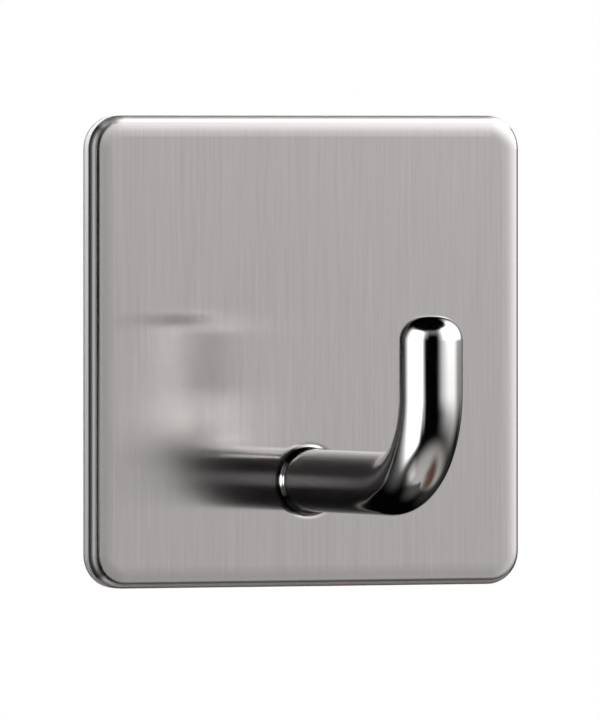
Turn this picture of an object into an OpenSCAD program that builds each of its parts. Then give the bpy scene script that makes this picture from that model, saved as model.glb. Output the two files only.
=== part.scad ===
// Adhesive wall hook: a square brushed plate that carries a bent round rod and a foam tape.
// Millimetres. The wall is the plane y = 0, the hook points along -Y, and +Z is up.
// Depths are measured from the wall towards the room.

/* [Plate] */
// Side of the square face plate
plate_side = 45; // [36:0.5:60]
// Thickness of the face plate
plate_t = 1.3; // [1:0.05:2]
// Radius of the plate's four corners, seen from the front
corner_r = 3.2; // [2.2:0.1:8]
// Radius of the rounded front edge
edge_r = 0.7; // [0.3:0.05:0.95]
// Width of the border that falls away slightly towards the edge
border_w = 2; // [1.2:0.1:2]
// Radius of the border's slight crown
border_r = 13; // [8:0.5:40]

/* [Hook] */
// Diameter of the round rod
rod_d = 6; // [5:0.5:8]
// Height of the rod's foot above the plate's lower edge
foot_up = 10.15; // [7:0.05:16]
// Distance from the plate's face to the middle of the upright
hook_reach = 27.1; // [20:0.1:45]
// Bend radius, to the middle of the rod
bend_r = 8.7; // [5:0.1:11]
// Height of the tip above the middle of the foot
hook_rise = 16; // [15:0.5:30]
// Radius of the rounded edge of the tip
tip_r = 2.4; // [0.5:0.1:3.5]

/* [Foot] */
// Thickness of the collar at its rim
rim_t = 0.1; // [0.05:0.01:0.4]
// Radius of the collar's hollow flare, from its rim up to the rod
flare_r = 0.45; // [0.25:0.05:1.2]
// Width of the shoulder where the rod steps down to its tenon
shoulder = 1.0; // [0.5:0.1:1.5]
// How far the tenon's flush head flares out behind the plate, at 45 degrees
head_flare = 0.7; // [0.3:0.05:0.8]
// Gap round the tenon in its holes
tenon_gap = 0.02; // [0:0.01:0.1]

/* [Tape] */
// How far the tape stays inside the outline of the plate
tape_inset = 0.05; // [0:0.05:1.5]
// Thickness of the foam core
foam_t = 0.9; // [0.5:0.1:2]
// Thickness of the adhesive film on each side of the foam
film_t = 0.1; // [0.05:0.01:0.3]
// Thickness of the release liner
liner_t = 0.2; // [0.05:0.01:0.3]

/* [Hidden] */
$fn = 96;
// Largest share of a wall that its rounded edge may take
round_share = 0.95;

// Height of the collar, from the plate to the rod
collar_t = rim_t + flare_r;

// Depths at which the layers of tape, the plate, its face and the rod begin
wall_film_at = liner_t;
foam_at = wall_film_at + film_t;
plate_film_at = foam_at + foam_t;
plate_at = plate_film_at + film_t;
face_at = plate_at + plate_t;
rod_at = face_at + collar_t;

// Outline of the tape
tape_side = plate_side - 2 * tape_inset;
tape_corner_r = corner_r - tape_inset;

// Radii of the rod, its tenon and the tenon's head
rod_r = rod_d / 2;
tenon_r = rod_r - shoulder;
head_r = tenon_r + head_flare;

// Depths and heights along the hook
foot_z = foot_up - plate_side / 2;
upright_at = face_at + hook_reach;
bend_at = upright_at - bend_r;
bend_z = foot_z + bend_r;
tip_z = foot_z + hook_rise;

// Flat half section, w wide and t high, with its outer top corner rounded
module eased_section(w, t, r) {
    round_r = min(r, round_share * min(w, t));
    square([w, t - round_r]);
    square([w - round_r, t]);
    translate([w - round_r, t - round_r])
        intersection() {
            circle(round_r);
            square(round_r);
        }
}

// The same, with a border that falls away on a slight crown before the corner
module crowned_section(w, t, r, crown_w, crown_r) {
    drop = crown_r - sqrt(crown_r ^ 2 - crown_w ^ 2);
    round_r = min(r, round_share * (t - drop));
    // The corner's circle touches the crown's circle from inside and the outer wall
    flat_x = w - crown_w;
    corner_x = w - round_r;
    corner_y = t - crown_r + sqrt((crown_r - round_r) ^ 2 - (corner_x - flat_x) ^ 2);
    touch_x = flat_x + (corner_x - flat_x) * crown_r / (crown_r - round_r);
    square([flat_x, t]);
    square([w, corner_y]);
    intersection() {
        square([touch_x, t]);
        translate([flat_x, t - crown_r]) circle(crown_r);
    }
    intersection() {
        square([w, t]);
        translate([corner_x, corner_y]) circle(round_r);
    }
}

// Half section of a ring that rises from a thin rim to its neck in a hollow quarter round
module flared_section(neck_r, rim, flare) {
    outer_r = neck_r + flare;
    square([outer_r, rim]);
    translate([0, rim]) difference() {
        square([outer_r, flare]);
        translate([outer_r, flare]) circle(flare);
    }
}

// Square outline with round corners
module rounded_square(side, r) {
    inner = side - 2 * r;
    square([side, inner], center = true);
    square([inner, side], center = true);
    for (x = [-1, 1], y = [-1, 1])
        translate([x, y] * inner / 2) circle(r);
}

// Square slab with round corners and the 2D section given as its child all round its edge
module edged_slab(side, t, r) {
    inner = side - 2 * r;
    translate([-inner / 2, -inner / 2, 0]) cube([inner, inner, t]);
    for (turn = [0:90:270])
        rotate(turn) translate([inner / 2, inner / 2, 0]) {
            rotate([90, 0, 0]) linear_extrude(inner) children();
            rotate_extrude(angle = 90) children();
        }
}

// Stands a shape drawn flat on the wall, so that its height becomes a depth from the wall
module from_wall(depth) {
    translate([0, -depth, 0]) rotate([90, 0, 0]) children();
}

// The same, round the rod's foot
module at_foot(depth) {
    from_wall(depth) translate([0, foot_z, 0]) children();
}

// One layer of the tape
module tape_layer(depth, t) {
    from_wall(depth) linear_extrude(t) rounded_square(tape_side, tape_corner_r);
}

// Tenon with its flush conical head, grown by a gap when it cuts its own hole
module tenon(length, gap = 0) {
    cylinder(h = length, r = tenon_r + gap);
    cylinder(h = head_flare, r1 = head_r + gap, r2 = tenon_r + gap);
}

module face_plate() {
    color("silver") difference() {
        from_wall(plate_at) edged_slab(plate_side, plate_t, corner_r)
            crowned_section(corner_r, plate_t, edge_r, border_w, border_r);
        at_foot(plate_at) tenon(plate_t, tenon_gap);
    }
}

module root_collar() {
    color("gainsboro") at_foot(face_at) difference() {
        rotate_extrude() flared_section(rod_r, rim_t, flare_r);
        cylinder(h = collar_t, r = tenon_r + tenon_gap);
    }
}

// The bend is drawn in a plane with depth along X and height along Y, and then turned upright
module hook_rod() {
    color("lightgray") {
        at_foot(plate_at) tenon(plate_t + collar_t);
        at_foot(rod_at) cylinder(h = bend_at - rod_at, r = rod_r);
        rotate([90, 0, -90]) translate([bend_at, bend_z, 0])
            rotate(-90) rotate_extrude(angle = 90) translate([bend_r, 0]) circle(rod_r);
        translate([0, -upright_at, bend_z])
            rotate_extrude() eased_section(rod_r, tip_z - bend_z, tip_r);
    }
}

module plate_adhesive() {
    color("lightgray") tape_layer(plate_film_at, film_t);
}

module foam_core() {
    color("whitesmoke") tape_layer(foam_at, foam_t);
}

module wall_adhesive() {
    color("lightgray") tape_layer(wall_film_at, film_t);
}

module release_liner() {
    color("darkgray") tape_layer(0, liner_t);
}

face_plate();
root_collar();
hook_rod();
plate_adhesive();
foam_core();
wall_adhesive();
release_liner();
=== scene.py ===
import math

import bmesh
import bpy
from mathutils import Matrix, Vector, noise


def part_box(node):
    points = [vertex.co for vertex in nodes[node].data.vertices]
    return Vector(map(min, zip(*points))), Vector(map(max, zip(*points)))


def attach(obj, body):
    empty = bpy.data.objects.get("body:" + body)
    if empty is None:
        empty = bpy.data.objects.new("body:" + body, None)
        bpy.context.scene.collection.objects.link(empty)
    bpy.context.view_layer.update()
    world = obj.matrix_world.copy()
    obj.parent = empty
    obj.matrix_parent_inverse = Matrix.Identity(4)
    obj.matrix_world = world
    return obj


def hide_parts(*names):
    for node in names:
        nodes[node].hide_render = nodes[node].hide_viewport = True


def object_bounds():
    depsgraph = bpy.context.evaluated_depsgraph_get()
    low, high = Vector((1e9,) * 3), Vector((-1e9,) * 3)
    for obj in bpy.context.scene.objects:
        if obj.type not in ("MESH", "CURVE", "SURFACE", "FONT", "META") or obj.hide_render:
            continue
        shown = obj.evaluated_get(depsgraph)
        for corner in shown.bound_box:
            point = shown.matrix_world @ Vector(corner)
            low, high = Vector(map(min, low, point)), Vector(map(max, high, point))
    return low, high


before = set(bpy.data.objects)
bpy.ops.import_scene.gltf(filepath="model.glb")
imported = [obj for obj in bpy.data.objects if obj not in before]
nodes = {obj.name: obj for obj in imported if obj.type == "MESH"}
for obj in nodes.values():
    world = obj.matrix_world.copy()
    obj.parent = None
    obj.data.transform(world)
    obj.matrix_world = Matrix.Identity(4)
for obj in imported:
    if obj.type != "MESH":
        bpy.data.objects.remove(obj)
cadBox = [list(corner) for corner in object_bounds()]
scene = bpy.context.scene
scene.view_settings.view_transform = "Standard"
print("frame loaded:", ", ".join(sorted(nodes)))

white = (1, 1, 1, 1)
plateLow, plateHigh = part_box("face_plate")
collarLow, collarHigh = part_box("root_collar")
faceY = plateLow.y  # the plate's flat face looks towards -Y
faceMiddle = Vector((0, faceY, (plateLow.z + plateHigh.z) / 2))
footMiddle = Vector((0, faceY, (collarLow.z + collarHigh.z) / 2))


# a socket that can be used in sums
class Value:
    def __init__(self, shader, socket):
        self.shader = shader
        self.socket = socket

    def __add__(self, other):
        return self.shader.maths("ADD", self, other)

    def __radd__(self, other):
        return self.shader.maths("ADD", other, self)

    def __sub__(self, other):
        return self.shader.maths("SUBTRACT", self, other)

    def __rsub__(self, other):
        return self.shader.maths("SUBTRACT", other, self)

    def __mul__(self, other):
        return self.shader.maths("MULTIPLY", self, other)

    def __rmul__(self, other):
        return self.shader.maths("MULTIPLY", other, self)

    def __neg__(self):
        return self.shader.maths("MULTIPLY", self, -1.0)


class Shader:
    def __init__(self, owner):
        owner.use_nodes = True
        self.tree = owner.node_tree
        self.tree.nodes.clear()

    # settings are set first, because some of them change the sockets
    def node(self, kind, settings, sockets, out=0):
        node = self.tree.nodes.new("ShaderNode" + kind)
        for name, setting in settings.items():
            setattr(node, name, setting)
        for name, value in sockets.items():
            if isinstance(value, Value):
                self.tree.links.new(value.socket, node.inputs[name])
            else:
                node.inputs[name].default_value = value
        return Value(self, node.outputs[out])

    def maths(self, operation, *values):
        return self.node("Math", {"operation": operation}, dict(enumerate(values)))

    # 0 below low, 1 above high
    def step(self, value, low, high):
        return self.node("MapRange", {"interpolation_type": "SMOOTHSTEP"}, {
            "Value": value, "From Min": low, "From Max": high}, "Result")

    # 0 outside, 1 between the two middle numbers
    def band(self, value, low, lowFull, highFull, high):
        return self.step(value, low, lowFull) * (1 - self.step(value, highFull, high))

    # low where the factor is 0, high where it is 1
    def between(self, factor, low, high):
        return low + factor * (high - low)

    # position on the piece, moved and stretched
    def place(self, stretch=(1, 1, 1), move=(0, 0, 0)):
        coords = self.node("TexCoord", {}, {}, "Object")
        return self.node("Mapping", {}, {"Vector": coords, "Location": move, "Scale": stretch})

    def axes(self, vector):
        return [self.node("SeparateXYZ", {}, {"Vector": vector}, axis) for axis in "XYZ"]

    # 0 to 1, with its scale counted in a metre
    def noise(self, scale, detail, roughness, stretch=(1, 1, 1)):
        return self.node("TexNoise", {}, {
            "Vector": self.place(stretch), "Scale": scale, "Detail": detail, "Roughness": roughness}, "Fac")

    # a noise brought to about 0, and spread this wide
    def wander(self, value, spread):
        return (value - 0.5) * spread

    def mix(self, factor, *colours):
        first, second = [colour if isinstance(colour, Value) else (*colour, 1) for colour in colours]
        return self.node("Mix", {"data_type": "RGBA"}, {0: factor, 6: first, 7: second}, 2)

    def bump(self, height, strength, distance, under=None):
        sockets = {"Height": height, "Strength": strength, "Distance": distance}
        if under:
            sockets["Normal"] = under
        return self.node("Bump", {}, sockets, "Normal")

    # 1 for the rays that should meet the white background
    def seenDirectly(self):
        straight, mirrored, through = [self.node("LightPath", {}, {}, f"Is {kind} Ray")
                                       for kind in ("Camera", "Glossy", "Transmission")]
        return self.maths("MAXIMUM", self.maths("MAXIMUM", straight, mirrored), through)

    def surface(self, shader, kind="OutputMaterial"):
        output = self.tree.nodes.new("ShaderNode" + kind)
        self.tree.links.new(shader.socket, output.inputs["Surface"])


def newMaterial(name):
    material = bpy.data.materials.new(name)
    return material, Shader(material)


def newObject(name, bm):
    mesh = bpy.data.meshes.new(name)
    bm.to_mesh(mesh)
    bm.free()
    piece = bpy.data.objects.new(name, mesh)
    scene.collection.objects.link(piece)
    return piece


def setFinish(material, *names):
    for name in names:
        nodes[name].material_slots[0].material = material


def only(kind, geometry):
    return [part for part in geometry if isinstance(part, kind)]


def addRectangle(bm, width, height):
    bmesh.ops.create_grid(bm, x_segments=1, y_segments=1, size=0.5)
    bmesh.ops.scale(bm, vec=(width, height, 1), verts=bm.verts)


# turns a shape drawn flat, so that it faces along Y
def standUp(bm):
    bmesh.ops.rotate(bm, cent=(0, 0, 0), matrix=Matrix.Rotation(math.radians(90), 3, "X"), verts=bm.verts)


# unit vector away from the plate: azimuth 0 is straight in front, 90 is towards +X
def direction(azimuth, elevation):
    turn, tilt = math.radians(azimuth), math.radians(elevation)
    return Vector((math.sin(turn) * math.cos(tilt), -math.cos(turn) * math.cos(tilt), math.sin(tilt)))


# camera, from the photograph's viewing angle
camera = {
    "azimuth": -25.03,
    "elevation": 0.78,
    "distance": 1.5,              # to the middle of the plate's face
    "pixelsPerMetre": 10465,      # at the plate's face
    "pictureHeight": 720,
    "aim": (-0.00083, -0.00085),  # picture's middle, right of and above the middle of the face
    "clip": (0.1, 20),
}


def makeCamera():
    back = direction(camera["azimuth"], camera["elevation"])
    rotation = back.to_track_quat("Z", "Y")
    right, up = rotation @ Vector((1, 0, 0)), rotation @ Vector((0, 1, 0))
    data = bpy.data.cameras.new("camera")
    data.lens = data.sensor_width * camera["pixelsPerMetre"] * camera["distance"] / camera["pictureHeight"]
    data.clip_start, data.clip_end = camera["clip"]
    view = bpy.data.objects.new("camera", data)
    view.location = (faceMiddle + back * camera["distance"]
                     + right * camera["aim"][0] + up * camera["aim"][1])
    view.rotation_mode = "QUATERNION"
    view.rotation_quaternion = rotation
    scene.collection.objects.link(view)
    scene.camera = view
    print("camera set, lens", round(data.lens), "mm")


# white studio: world, floor and soft lamps
studio = {
    "worldLight": 0.24,   # what pale and matt surfaces receive from all round
    "worldWhite": 1.0,    # what the background shows
    "floorDrop": 3.6,     # below the middle of the plate
    "floorRadius": 5.0,
    "floorSegments": 96,
    "floorColour": (0.84, 0.84, 0.835),
    "floorLift": 0.25,    # brings the floor up to white where no shadow falls
    "lamps": {            # azimuth, elevation, distance, size, watts
        "left": (-90, 48, 0.10, 0.05, 0.050),
        "right": (62, 28, 0.80, 0.55, 2.2),
        "back": (160, 15, 0.90, 0.60, 3.2),
    },
}


def makeWorld():
    world = bpy.data.worlds.new("studio")
    scene.world = world
    shader = Shader(world)
    soft = shader.node("Background", {}, {"Color": white, "Strength": studio["worldLight"]})
    plain = shader.node("Background", {}, {"Color": white, "Strength": studio["worldWhite"]})
    both = shader.node("MixShader", {}, {0: shader.seenDirectly(), 1: soft, 2: plain})
    shader.surface(both, "OutputWorld")


def makeFloor():
    bm = bmesh.new()
    bmesh.ops.create_circle(bm, cap_ends=True, segments=studio["floorSegments"],
                            radius=studio["floorRadius"])
    bmesh.ops.translate(bm, vec=(0, 0, faceMiddle.z - studio["floorDrop"]), verts=bm.verts)
    floor = newObject("floor", bm)
    material, shader = newMaterial("pale floor")
    matt = shader.node("BsdfDiffuse", {}, {"Color": (*studio["floorColour"], 1)})
    lift = shader.node("Emission", {}, {
        "Color": white, "Strength": shader.seenDirectly() * studio["floorLift"]})
    shader.surface(shader.node("AddShader", {}, {0: matt, 1: lift}))
    floor.data.materials.append(material)


def makeLamps():
    for name, (azimuth, elevation, distance, size, watts) in studio["lamps"].items():
        data = bpy.data.lights.new(name + " lamp", "AREA")
        data.size = size
        data.energy = watts
        lamp = bpy.data.objects.new(name + " lamp", data)
        away = direction(azimuth, elevation)
        lamp.location = faceMiddle + away * distance
        lamp.rotation_euler = away.to_track_quat("Z", "Y").to_euler()
        lamp.visible_camera = False
        lamp.visible_glossy = False  # metal sees the softboxes of the tent instead
        scene.collection.objects.link(lamp)


# tent that only the metal sees: softboxes on black cloth, over a grey table
# azimuth and height are degrees: dark, full, full, dark
tent = {
    "radius": 3.4,
    "segments": (64, 32),  # round and up
    "cloth": 0.0006,
    "boxes": {
        # this one narrows downwards, about -74 and by a half, all of it at -42 and none of it at 4
        "left": {"azimuth": (-143, -60, -79, -42.5), "height": (-43, -31, 34, 50), "level": 5.0,
                 "taper": (-74, 0.5, -42, 4)},
        "leftCore": {"azimuth": (-110, -92, -76, -58), "height": (-10, 4, 25, 38), "level": 2.3},
        "right": {"azimuth": (1, 49, 66, 112), "height": (-44, -2, 44, 56), "level": 0.77},
        "rightHigh": {"azimuth": (-5, 20, 62, 88), "height": (-20, 0, 44, 56), "level": 0.46},
        "rightTop": {"azimuth": (-5, 20, 62, 88), "height": (-3, 11, 44, 56), "level": 0.3},
        "rightCore": {"azimuth": (15, 45, 100, 125), "height": (-1, 12, 46, 60), "level": 2.3},
        "farRight": {"azimuth": (85, 112, 116, 142), "height": (-14, 30, 38, 58), "level": 1.35},
        "leftGlow": {"azimuth": (-145, -108, -90, -60), "height": (-60, -25, -5, 20), "level": 0.19},
        "rightGlow": {"azimuth": (95, 112, 125, 150), "height": (-70, -50, -25, -8), "level": 0.03},
        "overCamera": {"azimuth": (-60, -45, -5, 12), "height": (20, 42, 45, 54), "level": 0.17},
        "besideLeft": {"azimuth": (-60, -50, -44, -30), "height": (2, 25, 38, 48), "level": 0.3},
        "tableCorner": {"azimuth": (-108, -90, -80, -62), "height": (-75, -66, -54, -46), "level": 0.28},
        "floorGlow": {"azimuth": (-400, -300, 300, 400), "height": (-95, -94, -84, -58), "level": 0.09},
    },
    "table": {"azimuth": (-125, -90, 102, 125), "height": (-92, -91, -60, -38), "level": 1.0,
              "tilt": 0.1,  # its far edge rises to the right
              "colour": (0.44, 0.42, 0.41)},
    "shade": {"azimuth": (5, 55, 100, 130), "height": (-86, -70, -62, -46), "level": 1.0,
              "colour": (0.10, 0.056, 0.036)},
}


def panelLight(shader, panel, azimuth, height):
    if "taper" in panel:
        middle, share, low, high = panel["taper"]
        azimuth = middle + (azimuth - middle) * (1 + share * (1 - shader.step(height, low, high)))
    if "tilt" in panel:
        height = height - azimuth * panel["tilt"]
    return shader.band(azimuth, *panel["azimuth"]) * shader.band(height, *panel["height"]) * panel["level"]


def seenOnlyInMetal(piece):
    for rays in ("camera", "diffuse", "transmission", "volume_scatter", "shadow"):
        setattr(piece, "visible_" + rays, False)


def makeTent():
    middle = (Vector(cadBox[0]) + Vector(cadBox[1])) / 2
    around, upward = tent["segments"]
    bm = bmesh.new()
    bmesh.ops.create_uvsphere(bm, u_segments=around, v_segments=upward, radius=tent["radius"])
    bmesh.ops.translate(bm, vec=middle, verts=bm.verts)
    dome = newObject("tent", bm)
    material, shader = newMaterial("tent")
    material.cycles.emission_sampling = "NONE"
    outward = shader.node("VectorMath", {"operation": "NORMALIZE"}, {0: shader.place(move=-middle)})
    x, y, z = shader.axes(outward)
    azimuth = shader.maths("ARCTAN2", x, -y) * math.degrees(1)
    height = shader.maths("ARCSINE", z) * math.degrees(1)

    glow = tent["cloth"]
    for box in tent["boxes"].values():
        glow = glow + panelLight(shader, box, azimuth, height)
    boxes = shader.node("Emission", {}, {"Color": white, "Strength": glow})
    shade = panelLight(shader, tent["shade"], azimuth, height)
    tableTop = shader.node("Emission", {}, {
        "Color": shader.mix(shade, tent["table"]["colour"], tent["shade"]["colour"]),
        "Strength": panelLight(shader, tent["table"], azimuth, height)})
    shader.surface(shader.node("AddShader", {}, {0: boxes, 1: tableTop}))

    dome.data.materials.append(material)
    seenOnlyInMetal(dome)


# dim card close in front of the plate, seen by the sides of the hook that face the plate
card = {
    "azimuth": -25,
    "distance": 0.050,  # from the hook's foot
    "aside": -0.0035,
    "width": 0.013,
    "height": (-0.014, -0.002, 0.002, 0.014),  # dark, full, full, dark
    "level": 0.31,
}


def makeCard():
    away = direction(card["azimuth"], 0)
    right = Vector((0, 0, 1)).cross(away)
    middle = footMiddle + away * card["distance"] + right * card["aside"]
    bm = bmesh.new()
    addRectangle(bm, card["width"], card["height"][3] - card["height"][0])
    bmesh.ops.rotate(bm, cent=(0, 0, 0), matrix=away.to_track_quat("Z", "Y").to_matrix(), verts=bm.verts)
    bmesh.ops.translate(bm, vec=middle, verts=bm.verts)
    piece = newObject("card", bm)
    material, shader = newMaterial("card")
    material.cycles.emission_sampling = "NONE"
    height = shader.axes(shader.place(move=-middle))[2]
    glow = shader.node("Emission", {}, {
        "Color": white, "Strength": shader.band(height, *card["height"]) * card["level"]})
    clear = shader.node("BsdfTransparent", {}, {})
    shader.surface(shader.node("AddShader", {}, {0: glow, 1: clear}))
    piece.data.materials.append(material)
    seenOnlyInMetal(piece)


makeCamera()
makeWorld()
makeFloor()
makeLamps()
makeTent()
makeCard()
print("studio set")


# satin plate: fine upright grain on the face, an even satin over the rounded edge, painted shade darkening
# the side walls and a painted sheen lightening the top and bottom walls
plate = {
    "colour": (0.495, 0.473, 0.469),
    "dull": (0.434, 0.414, 0.41),
    "edge": (0.56, 0.537, 0.532),
    # painted shade: the left and right walls are darker than the rest of the plate's metal
    "sideWallShade": (0.13, 0.125, 0.124),
    "endWallSheen": (0.78, 0.755, 0.75),    # top and bottom, a painted sheen: brighter than the rest of the plate's metal
    "cornerBlend": 0.0005,             # between side and end walls, each way from the corner
    "grainRoughness": 0.133,
    "grainSpread": 0.03,
    "edgeRoughness": 0.22,
    "sideRoughness": 0.45,
    "endRoughness": 0.48,
    "edgeDepth": (0.000004, 0.00007),  # how far behind the face the edge's finish starts and is full
    "wallDepth": (0.00011, 0.00022),   # the same for the side walls
    "anisotropy": 1.0,
    "grain": {"scale": 20000, "detail": 3, "roughness": 0.6, "stretch": (1, 1, 0.012)},
    "stroke": {"scale": 3500, "detail": 2, "roughness": 0.6, "stretch": (1, 1, 0.025)},
    "broad": {"scale": 600, "detail": 2, "roughness": 0.5, "stretch": (1, 1, 0.06)},
    "fine": {"scale": 5000, "detail": 2, "roughness": 0.6},
    "streakShares": (0.6, 1.2, 0.4),   # of grain, stroke and broad in the colour
    "grainBump": (1.0, 0.0000012),     # strength, and depth in metres
    "dish": (0.0031, 0.0038),          # the face is drawn in round the hook's foot, between these radii
    "dishBump": (1.0, 0.00004),
}


def finishPlate():
    material, shader = newMaterial("brushed plate")
    grain, stroke, broad = [shader.noise(**plate[layer]) for layer in ("grain", "stroke", "broad")]
    grainShare, strokeShare, broadShare = plate["streakShares"]
    streaks = (shader.wander(grain, grainShare) + shader.wander(stroke, strokeShare)
               + shader.wander(broad, broadShare) + 0.5)
    x, y, z = shader.axes(shader.place(move=-footMiddle))
    dish = shader.step(shader.maths("SQRT", x * x + z * z), *plate["dish"])
    drawnIn = shader.bump(dish, *plate["dishBump"])
    face = shader.node("BsdfPrincipled", {}, {
        "Base Color": shader.mix(streaks, plate["dull"], plate["colour"]),
        "Metallic": 1.0,
        "Roughness": plate["grainRoughness"] + shader.wander(grain, plate["grainSpread"]),
        "Anisotropic": plate["anisotropy"],
        "Normal": shader.bump(grain, *plate["grainBump"], drawnIn),
    })
    x, y, z = shader.axes(shader.place(move=-faceMiddle))
    wall = shader.step(y, *plate["wallDepth"])
    pastCorner = shader.maths("ABSOLUTE", z) - shader.maths("ABSOLUTE", x)
    end = shader.step(pastCorner, -plate["cornerBlend"], plate["cornerBlend"])
    # painted shade on the left and right walls, painted sheen on the top and bottom walls
    wallShadeAndSheen = shader.mix(end, plate["sideWallShade"], plate["endWallSheen"])
    wallRoughness = shader.between(end, plate["sideRoughness"], plate["endRoughness"])
    fine = shader.noise(**plate["fine"])
    edge = shader.node("BsdfPrincipled", {}, {
        "Base Color": shader.mix(wall, plate["edge"], wallShadeAndSheen),
        "Metallic": 1.0,
        "Roughness": (shader.between(wall, plate["edgeRoughness"], wallRoughness)
                      + shader.wander(fine, plate["grainSpread"])),
    })
    rounded = shader.step(y, *plate["edgeDepth"])
    shader.surface(shader.node("MixShader", {}, {0: rounded, 1: face, 2: edge}))
    setFinish(material, "face_plate")


# one bent rod, mirror polished and a little uneven, with fine marks in the polish
rod = {
    "segments": 96,
    "bendSteps": 48,
    "bendRadius": 0.0087,    # to the middle of the rod
    "tipRadius": 0.0024,     # of the tip's rounded edge
    "tipSteps": 24,
    "tenonRadius": 0.0020,
    "headFlare": 0.0007,     # the tenon's end spreads this far, behind the plate
    "sharpAngle": 35,        # edges that turn further than this stay sharp
    "colour": (0.77, 0.76, 0.75),
    "dull": (0.74, 0.73, 0.72),
    "roughness": 0.10,
    "roughnessSpread": 0.02,
    "wave": {"scale": 260, "detail": 1, "roughness": 0.4},
    "waveBump": (0.3, 0.00001),
    "marks": {"scale": 6000, "detail": 2, "roughness": 0.6},
}


# next ring of the rod, joined on by a wall
def grow(bm, ring, move, scale=1.0):
    grown = bmesh.ops.extrude_edge_only(bm, edges=ring)["geom"]
    verts = only(bmesh.types.BMVert, grown)
    middle = sum((v.co for v in verts), Vector()) / len(verts)
    bmesh.ops.scale(bm, vec=(scale, scale, scale), space=Matrix.Translation(-middle), verts=verts)
    bmesh.ops.translate(bm, vec=move, verts=verts)
    return [edge for edge in only(bmesh.types.BMEdge, grown) if edge.is_boundary]


def makeRod():
    low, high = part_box("hook_rod")
    radius = (high.x - low.x) / 2
    thin, flare = rod["tenonRadius"], rod["headFlare"]
    bendY = low.y + radius + rod["bendRadius"]
    bendZ = footMiddle.z + rod["bendRadius"]

    bm = bmesh.new()
    bmesh.ops.create_circle(bm, cap_ends=True, segments=rod["segments"], radius=thin + flare)
    standUp(bm)
    bmesh.ops.translate(bm, vec=(0, high.y, footMiddle.z), verts=bm.verts)
    ring = grow(bm, bm.edges[:], (0, -flare, 0), thin / (thin + flare))  # flush head
    ring = grow(bm, ring, (0, collarLow.y - high.y + flare, 0))          # tenon
    ring = grow(bm, ring, (0, 0, 0), radius / thin)                      # shoulder
    ring = grow(bm, ring, (0, bendY - collarLow.y, 0))                   # straight
    bent = bmesh.ops.spin(bm, geom=ring, cent=(0, bendY, bendZ), axis=(1, 0, 0), dvec=(0, 0, 0),
                          angle=math.radians(-90), steps=rod["bendSteps"], use_duplicate=False)
    ring = only(bmesh.types.BMEdge, bent["geom_last"])
    ring = grow(bm, ring, (0, 0, high.z - bendZ))                        # upright
    bmesh.ops.edgeloop_fill(bm, edges=ring)
    bmesh.ops.bevel(bm, geom=ring, offset=rod["tipRadius"], offset_type="OFFSET", affect="EDGES",
                    segments=rod["tipSteps"], profile=0.5, material=-1, clamp_overlap=False)
    bmesh.ops.recalc_face_normals(bm, faces=bm.faces)
    for face in bm.faces:
        face.smooth = True
    for edge in bm.edges:
        edge.smooth = edge.calc_face_angle(0) < math.radians(rod["sharpAngle"])
    piece = newObject("bent_rod", bm)
    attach(piece, "hook_body")
    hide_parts("hook_rod")
    return piece


def finishRod(piece):
    material, shader = newMaterial("polished rod")
    wave = shader.noise(**rod["wave"])
    marks = shader.noise(**rod["marks"])
    shader.surface(shader.node("BsdfPrincipled", {}, {
        "Base Color": shader.mix(marks, rod["dull"], rod["colour"]),
        "Metallic": 1.0,
        "Roughness": rod["roughness"] + shader.wander(marks, rod["roughnessSpread"]),
        "Normal": shader.bump(wave, *rod["waveBump"]),
    }))
    piece.data.materials.append(material)


# the same polish, with a painted glint on each side of the rod's foot, painted highlight arcs above and
# below it, and painted shade darkening the rest of the ring
collar = {
    # bright is the colour of the painted glint and highlight arcs, dark the painted shade
    "bright": (0.42, 0.415, 0.41),
    "dark": (0.022, 0.021, 0.02),
    "sides": (0.0002, 0.0007),  # heights above and below the rod's axis: painted glint full, painted shade full
    "ends": (0.0029, 0.0033),   # painted shade ends, painted highlight full again
    "roughness": (0.10, 0.15),
    "marks": {"scale": 6000, "detail": 2, "roughness": 0.6},
}


def finishCollar():
    material, shader = newMaterial("collar")
    height = shader.maths("ABSOLUTE", shader.axes(shader.place(move=-footMiddle))[2])
    marks = shader.noise(**collar["marks"])
    # painted highlight: 1 for the glint on each side and the arcs above and below, 0 for the painted shade
    paintedHighlight = 1 - shader.step(height, *collar["sides"]) + shader.step(height, *collar["ends"])
    shader.surface(shader.node("BsdfPrincipled", {}, {
        "Base Color": shader.mix(paintedHighlight, collar["dark"], collar["bright"]),
        "Metallic": 1.0,
        "Roughness": shader.between(marks, *collar["roughness"]),
    }))
    setFinish(material, "root_collar")


finishPlate()
finishRod(makeRod())
finishCollar()
print("metal finished")


# foam of the tape: closed cells, cut edge that bulges a little between the films
foam = {
    "cornerSegments": 12,
    "depthCuts": 5,
    "sideCuts": 60,
    "bulge": 0.00006,      # most that an even cut edge stands out
    "unevenness": 0.00003,
    "unevenSize": 0.0012,
    "sameHeight": 0.000001,
    "flatLimit": 0.7,      # faces that look further than this along Y are shaded flat
    "colour": (0.89, 0.89, 0.90),
    "shadow": (0.79, 0.79, 0.80),
    "roughness": 0.85,
    "cells": {"scale": 5000, "detail": 3, "roughness": 0.6},
    "cellBump": (0.5, 0.00005),
}


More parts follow.
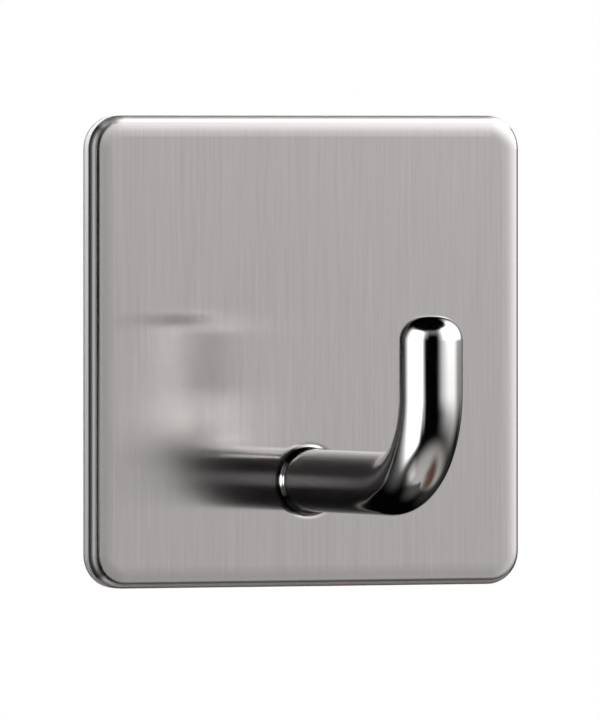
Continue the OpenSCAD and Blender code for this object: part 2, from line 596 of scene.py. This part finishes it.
def makeFoam():
    low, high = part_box("foam_core")
    middle, size = (low + high) / 2, high - low
    # the straight top edge of the solid ends where its corner's arc starts
    solid = nodes["foam_core"].data.vertices
    topEdge = [v.co.x for v in solid if math.isclose(v.co.z, high.z, abs_tol=foam["sameHeight"])]
    cornerRadius = high.x - max(topEdge)

    bm = bmesh.new()
    addRectangle(bm, size.x, size.z)
    bmesh.ops.bevel(bm, geom=bm.verts[:], offset=cornerRadius, offset_type="OFFSET", affect="VERTICES",
                    segments=foam["cornerSegments"], profile=0.5, material=-1)
    standUp(bm)
    longSides = [e for e in bm.edges if e.calc_length() > cornerRadius]
    bmesh.ops.subdivide_edges(bm, edges=longSides, cuts=foam["sideCuts"])
    bmesh.ops.translate(bm, vec=(middle.x, low.y, middle.z), verts=bm.verts)
    rim = bm.verts[:]
    grown = bmesh.ops.extrude_face_region(bm, geom=bm.faces[:])["geom"]
    bmesh.ops.translate(bm, vec=(0, size.y, 0), verts=only(bmesh.types.BMVert, grown))
    bmesh.ops.recalc_face_normals(bm, faces=bm.faces)
    across = [e for e in bm.edges if (e.verts[0] in rim) != (e.verts[1] in rim)]
    bmesh.ops.subdivide_edges(bm, edges=across, cuts=foam["depthCuts"], use_grid_fill=True)

    bm.normal_update()
    outward = {v: Vector((v.normal.x, 0, v.normal.z)).normalized() for v in bm.verts}
    for vert, away in outward.items():
        depth = (vert.co.y - low.y) / size.y
        swell = math.sin(math.pi * depth)
        uneven = noise.noise(vert.co / foam["unevenSize"])
        vert.co += away * swell * (foam["bulge"] + foam["unevenness"] * uneven)
    for face in bm.faces:
        face.smooth = abs(face.normal.y) < foam["flatLimit"]
    piece = newObject("foam_pad", bm)
    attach(piece, "hook_body")
    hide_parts("foam_core")
    return piece


def finishFoam(piece):
    material, shader = newMaterial("white foam")
    cells = shader.noise(**foam["cells"])
    shader.surface(shader.node("BsdfPrincipled", {}, {
        "Base Color": shader.mix(cells, foam["shadow"], foam["colour"]),
        "Roughness": foam["roughness"],
        "Normal": shader.bump(cells, *foam["cellBump"]),
    }))
    piece.data.materials.append(material)


# adhesive films on both sides of the foam
film = {
    "colour": (0.49, 0.49, 0.48),
    "shadow": (0.42, 0.42, 0.415),
    "roughness": (0.25, 0.45),
    "blotches": {"scale": 700, "detail": 3, "roughness": 0.6},
    "blotchRange": (0.2, 0.8),
    "bump": (0.4, 0.00003),
}


def finishFilms():
    material, shader = newMaterial("adhesive film")
    blotch = shader.step(shader.noise(**film["blotches"]), *film["blotchRange"])
    shader.surface(shader.node("BsdfPrincipled", {}, {
        "Base Color": shader.mix(blotch, film["shadow"], film["colour"]),
        "Roughness": shader.between(blotch, *film["roughness"]),
        "Normal": shader.bump(blotch, *film["bump"]),
    }))
    setFinish(material, "plate_adhesive", "wall_adhesive")


# coated paper over the wall side of the tape
liner = {
    "colour": (0.50, 0.50, 0.51),
    "shadow": (0.35, 0.35, 0.36),
    "roughness": (0.4, 0.6),
    "clouds": {"scale": 260, "detail": 2, "roughness": 0.5},
    "fibres": {"scale": 2200, "detail": 4, "roughness": 0.65},
    "fibreShare": 0.7,  # the clouds are the rest
    "fibreRange": (0.3, 0.7),
    "bump": (0.3, 0.00002),
}


def finishLiner():
    material, shader = newMaterial("liner paper")
    cloud, fibre = shader.noise(**liner["clouds"]), shader.noise(**liner["fibres"])
    paper = shader.step(shader.between(liner["fibreShare"], cloud, fibre), *liner["fibreRange"])
    shader.surface(shader.node("BsdfPrincipled", {}, {
        "Base Color": shader.mix(paper, liner["shadow"], liner["colour"]),
        "Roughness": shader.between(paper, *liner["roughness"]),
        "Normal": shader.bump(paper, *liner["bump"]),
    }))
    setFinish(material, "release_liner")


finishFoam(makeFoam())
finishFilms()
finishLiner()
print("tape finished")
